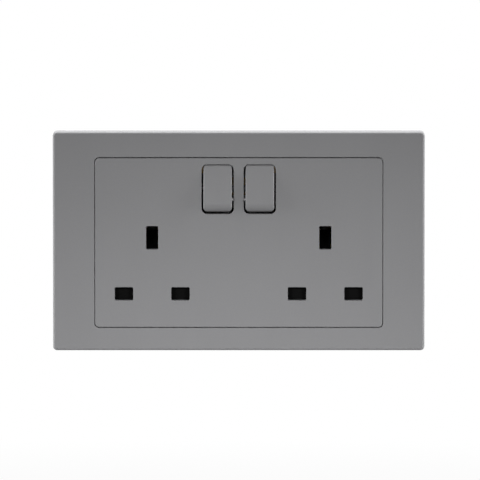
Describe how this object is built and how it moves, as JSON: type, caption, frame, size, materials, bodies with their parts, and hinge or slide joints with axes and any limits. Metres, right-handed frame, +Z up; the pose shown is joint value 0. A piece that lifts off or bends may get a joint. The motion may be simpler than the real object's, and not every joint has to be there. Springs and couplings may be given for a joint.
{
  "type": "twin switched mains socket outlet",
  "caption": "Double wall socket for rectangular-pin plugs: clip-on surround, flush panel with shuttered pin holes, rocker switches, screw terminals and a steel yoke.",
  "frame": {"origin": "centre of the wall plane, midway between the two box screws", "axes": "+X to the right seen from the front, +Z up, the front face looks along -Y"},
  "size_m": [0.146, 0.0351, 0.086],
  "materials": {
    "grey_plastic": "semi-matt moulded mid-grey",
    "housing_plastic": "off-white moulded",
    "shutter_plastic": "black moulded",
    "brass": "pressed brass strip",
    "silver_alloy": "silver contact",
    "spring_steel": "drawn wire",
    "galvanised_steel": "zinc-coated sheet",
    "screw_steel": "zinc-plated"
  },
  "bodies": {
    "socket_body": {"outer_frame": "grey_plastic", "socket_front": "grey_plastic", "rear_housing": "housing_plastic", "mounting_yoke": "galvanised_steel", "earth_bar": "brass", "neutral_bar": "brass", "live_busbar": "brass", "yoke_earth_strap": "brass", "strap_rivet": "brass", "housing_screws": "screw_steel", "live_terminal": "brass", "neutral_terminal": "brass", "earth_terminal_left": "brass", "earth_terminal_right": "brass", "terminal_screws": "brass", "fixed_contact_left": "silver_alloy", "live_contact_left": "brass", "shutter_spring_left": "spring_steel", "fixing_screw_left": "screw_steel", "fixed_contact_right": "silver_alloy", "live_contact_right": "brass", "shutter_spring_right": "spring_steel", "fixing_screw_right": "screw_steel"},
    "rocker_left": {"rocker_left": "grey_plastic", "plunger_spring_left": "spring_steel"},
    "plunger_left": {"plunger_left": "shutter_plastic"},
    "switch_arm_left": {"switch_arm_left": "brass", "moving_contact_left": "silver_alloy"},
    "shutter_left": {"shutter_left": "shutter_plastic"},
    "rocker_right": {"rocker_right": "grey_plastic", "plunger_spring_right": "spring_steel"},
    "plunger_right": {"plunger_right": "shutter_plastic"},
    "switch_arm_right": {"switch_arm_right": "brass", "moving_contact_right": "silver_alloy"},
    "shutter_right": {"shutter_right": "shutter_plastic"}
  },
  "joints": [
    {"name": "rocker_left_tilt", "type": "hinge", "parent": "socket_body", "child": "rocker_left", "pos_m": [-0.00827, -0.0055, 0.0205], "axis": [1, 0, 0], "range_deg": [0, 14]},
    {"name": "plunger_left_slide", "type": "slide", "parent": "rocker_left", "child": "plunger_left", "axis": [0, -0.9925, 0.1219], "range_m": [0, 0.0008], "stiffness_N_per_m": 300, "springref_m": -0.002, "deforming": ["plunger_spring_left"]},
    {"name": "switch_arm_left_tilt", "type": "hinge", "parent": "socket_body", "child": "switch_arm_left", "pos_m": [-0.00827, 0.00502, 0.0205], "axis": [1, 0, 0], "range_deg": [-12.01, 0]},
    {"name": "shutter_left_slide", "type": "slide", "parent": "socket_body", "child": "shutter_left", "axis": [0, 0, -1], "range_m": [0, 0.006], "stiffness_N_per_m": 150, "springref_m": -0.006, "deforming": ["shutter_spring_left"]},
    {"name": "rocker_right_tilt", "type": "hinge", "parent": "socket_body", "child": "rocker_right", "pos_m": [0.00827, -0.0055, 0.0205], "axis": [1, 0, 0], "range_deg": [0, 14]},
    {"name": "plunger_right_slide", "type": "slide", "parent": "rocker_right", "child": "plunger_right", "axis": [0, -0.9925, 0.1219], "range_m": [0, 0.0008], "stiffness_N_per_m": 300, "springref_m": -0.002, "deforming": ["plunger_spring_right"]},
    {"name": "switch_arm_right_tilt", "type": "hinge", "parent": "socket_body", "child": "switch_arm_right", "pos_m": [0.00827, 0.00502, 0.0205], "axis": [1, 0, 0], "range_deg": [-12.01, 0]},
    {"name": "shutter_right_slide", "type": "slide", "parent": "socket_body", "child": "shutter_right", "axis": [0, 0, -1], "range_m": [0, 0.006], "stiffness_N_per_m": 150, "springref_m": -0.006, "deforming": ["shutter_spring_right"]}
  ],
  "couplings": [
    {"joint": "switch_arm_left_tilt", "follows": "rocker_left_tilt", "ratio": -0.85714},
    {"joint": "switch_arm_right_tilt", "follows": "rocker_right_tilt", "ratio": -0.85714}
  ]
}
